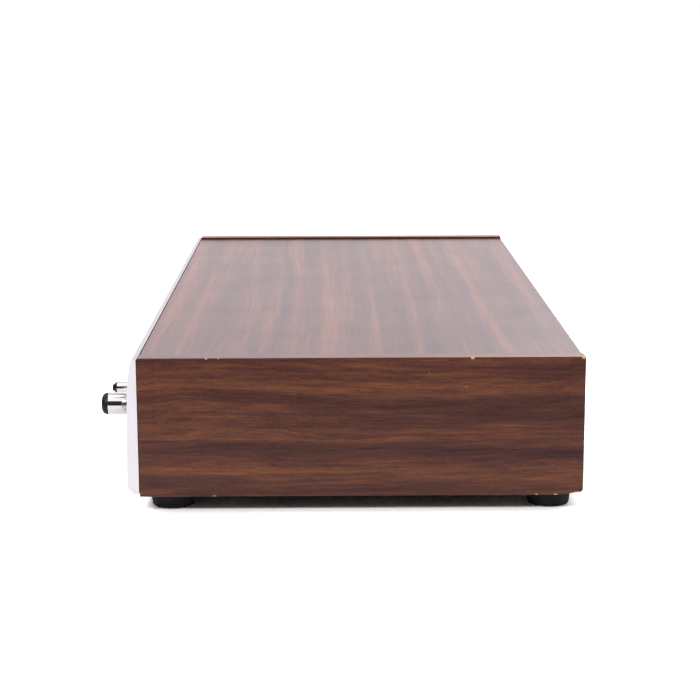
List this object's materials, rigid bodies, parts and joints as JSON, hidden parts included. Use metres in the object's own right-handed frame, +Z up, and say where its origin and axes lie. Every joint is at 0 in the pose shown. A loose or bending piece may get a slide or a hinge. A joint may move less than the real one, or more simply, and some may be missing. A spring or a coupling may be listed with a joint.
{
  "type": "stereo receiver",
  "caption": "Long low stereo receiver in a walnut-grained cabinet with a bright front plate, tuning knob, dial, keys and rear terminals.",
  "frame": {"origin": "middle of the space the whole receiver fills, level with the undersides of its feet", "axes": "+X along the width, to the right as seen from the front; the front faces -Y; +Z up"},
  "size_m": [0.46, 0.2578, 0.0845],
  "materials": {
    "black_plastic": "moulded black plastic",
    "chrome": "polished bright plating",
    "circuit_board": "copper-clad resin board with its soldered cans",
    "ferrite_rod_cover": "black sleeve over a ferrite rod",
    "zinc_plated_steel": "dull zinc plating",
    "walnut_grain": "walnut-grained vinyl wrap on particle board, satin to glossy",
    "black_rubber": "black moulded rubber",
    "dial_cord": "waxed braided cord",
    "white_enamel": "off-white moulded plastic",
    "smoked_acrylic": "clear smoked acrylic sheet",
    "lamp_glass": "clear lamp tube",
    "pointer_red": "red enamel",
    "brushed_aluminium": "fine brushed and clear anodised",
    "brass": "bare turned brass",
    "black_anodised": "black anodised extrusion",
    "dial_card": "dark printed scale",
    "phenolic": "dark brown moulded phenolic",
    "lamination_steel": "varnished steel laminations",
    "winding_wrap": "amber tape over copper windings"
  },
  "bodies": {
    "chassis": {"aerial_terminals": "black_plastic", "amplifier_board": "circuit_board", "antenna_bracket": "black_plastic", "balance_control": "zinc_plated_steel", "bass_control": "zinc_plated_steel", "cabinet_side_left": "walnut_grain", "cabinet_side_right": "walnut_grain", "cabinet_top": "walnut_grain", "capacitor_frame": "zinc_plated_steel", "chassis_pan": "zinc_plated_steel", "cord_gland": "black_rubber", "dial_cord": "dial_cord", "dial_glass": "smoked_acrylic", "dial_lamp_left": "lamp_glass", "dial_lamp_right": "lamp_glass", "faceplate": "brushed_aluminium", "foot_front_left": "black_rubber", "foot_front_right": "black_rubber", "foot_rear_left": "black_rubber", "foot_rear_right": "black_rubber", "headphone_jack": "black_plastic", "heat_sink": "black_anodised", "key_bank": "black_plastic", "main_board": "circuit_board", "meter_case": "black_plastic", "power_switch": "black_plastic", "rear_panel": "zinc_plated_steel", "scale_plate": "dial_card", "socket_block": "phenolic", "speaker_terminals": "black_plastic", "stator_plates": "brass", "sub_panel": "zinc_plated_steel", "supply_can_front": "black_plastic", "supply_can_rear": "black_plastic", "transformer_core": "lamination_steel", "transformer_winding": "winding_wrap", "treble_control": "zinc_plated_steel", "tuning_bushing": "brass", "volume_control": "zinc_plated_steel"},
    "tuning": {"tuning_knob": "chrome", "tuning_shaft": "zinc_plated_steel", "flywheel": "brass"},
    "drum": {"dial_drum": "white_enamel"},
    "rotor": {"rotor_gear": "brass", "rotor_plates": "brushed_aluminium"},
    "left_pulley": {"pulley_left": "white_enamel"},
    "right_pulley": {"pulley_right": "white_enamel"},
    "pointer": {"dial_pointer": "pointer_red"},
    "needle": {"meter_needle": "white_enamel"},
    "power": {"power_button": "chrome"},
    "rod": {"antenna_rod": "ferrite_rod_cover"},
    "bass": {"bass_knob": "chrome"},
    "treble": {"treble_knob": "chrome"},
    "balance": {"balance_knob": "chrome"},
    "volume": {"volume_knob": "chrome"},
    "phono": {"phono_key": "chrome"},
    "fm": {"fm_key": "chrome"},
    "am": {"am_key": "chrome"},
    "tape": {"tape_key": "chrome"}
  },
  "joints": [
    {"name": "tuning_turn", "type": "hinge", "parent": "chassis", "child": "tuning", "pos_m": [0.1741, -0.1031, 0.0475], "axis": [0, 1, 0], "range_deg": [-1800, 1800]},
    {"name": "drum_turn", "type": "hinge", "parent": "chassis", "child": "drum", "pos_m": [0.095, -0.0866, 0.051], "axis": [0, 1, 0], "range_deg": [-360, 360]},
    {"name": "rotor_turn", "type": "hinge", "parent": "chassis", "child": "rotor", "pos_m": [0.095, -0.0866, 0.033], "axis": [0, 1, 0], "range_deg": [-90, 90]},
    {"name": "left_pulley_turn", "type": "hinge", "parent": "chassis", "child": "left_pulley", "pos_m": [-0.14, -0.0866, 0.0651], "axis": [0, 1, 0], "range_deg": [-1080, 1080]},
    {"name": "right_pulley_turn", "type": "hinge", "parent": "chassis", "child": "right_pulley", "pos_m": [0.165, -0.0866, 0.0651], "axis": [0, 1, 0], "range_deg": [-1080, 1080]},
    {"name": "pointer_slide", "type": "slide", "parent": "chassis", "child": "pointer", "axis": [1, 0, 0], "range_m": [-0.09425, 0.09425]},
    {"name": "bass_turn", "type": "hinge", "parent": "chassis", "child": "bass", "pos_m": [-0.16, -0.1031, 0.027], "axis": [0, 1, 0], "range_deg": [-150, 150]},
    {"name": "treble_turn", "type": "hinge", "parent": "chassis", "child": "treble", "pos_m": [-0.119, -0.1031, 0.027], "axis": [0, 1, 0], "range_deg": [-150, 150]},
    {"name": "balance_turn", "type": "hinge", "parent": "chassis", "child": "balance", "pos_m": [-0.078, -0.1031, 0.027], "axis": [0, 1, 0], "range_deg": [-150, 150]},
    {"name": "volume_turn", "type": "hinge", "parent": "chassis", "child": "volume", "pos_m": [-0.037, -0.1031, 0.027], "axis": [0, 1, 0], "range_deg": [-150, 150]},
    {"name": "phono_press", "type": "slide", "parent": "chassis", "child": "phono", "axis": [0, 1, 0], "range_m": [0, 0.004], "stiffness_N_per_m": 250},
    {"name": "fm_press", "type": "slide", "parent": "chassis", "child": "fm", "axis": [0, 1, 0], "range_m": [0, 0.004], "stiffness_N_per_m": 250},
    {"name": "am_press", "type": "slide", "parent": "chassis", "child": "am", "axis": [0, 1, 0], "range_m": [0, 0.004], "stiffness_N_per_m": 250},
    {"name": "tape_press", "type": "slide", "parent": "chassis", "child": "tape", "axis": [0, 1, 0], "range_m": [0, 0.004], "stiffness_N_per_m": 250},
    {"name": "power_press", "type": "slide", "parent": "chassis", "child": "power", "axis": [0, 1, 0], "range_m": [0, 0.004], "stiffness_N_per_m": 300},
    {"name": "needle_swing", "type": "hinge", "parent": "chassis", "child": "needle", "pos_m": [-0.182, -0.0961, 0.049], "axis": [0, 1, 0], "range_deg": [0, 70], "stiffness_Nm_per_rad": 0.0002},
    {"name": "rod_swing", "type": "hinge", "parent": "chassis", "child": "rod", "pos_m": [0.095, 0.1184, 0.0615], "axis": [0, 0, -1], "range_deg": [0, 90]}
  ],
  "couplings": [
    {"joint": "drum_turn", "follows": "tuning_turn", "ratio": 0.2},
    {"joint": "rotor_turn", "follows": "tuning_turn", "ratio": -0.05},
    {"joint": "left_pulley_turn", "follows": "tuning_turn", "ratio": 0.6},
    {"joint": "right_pulley_turn", "follows": "tuning_turn", "ratio": 0.6},
    {"joint": "pointer_slide", "follows": "tuning_turn", "m_per_rad": 0.003}
  ]
}
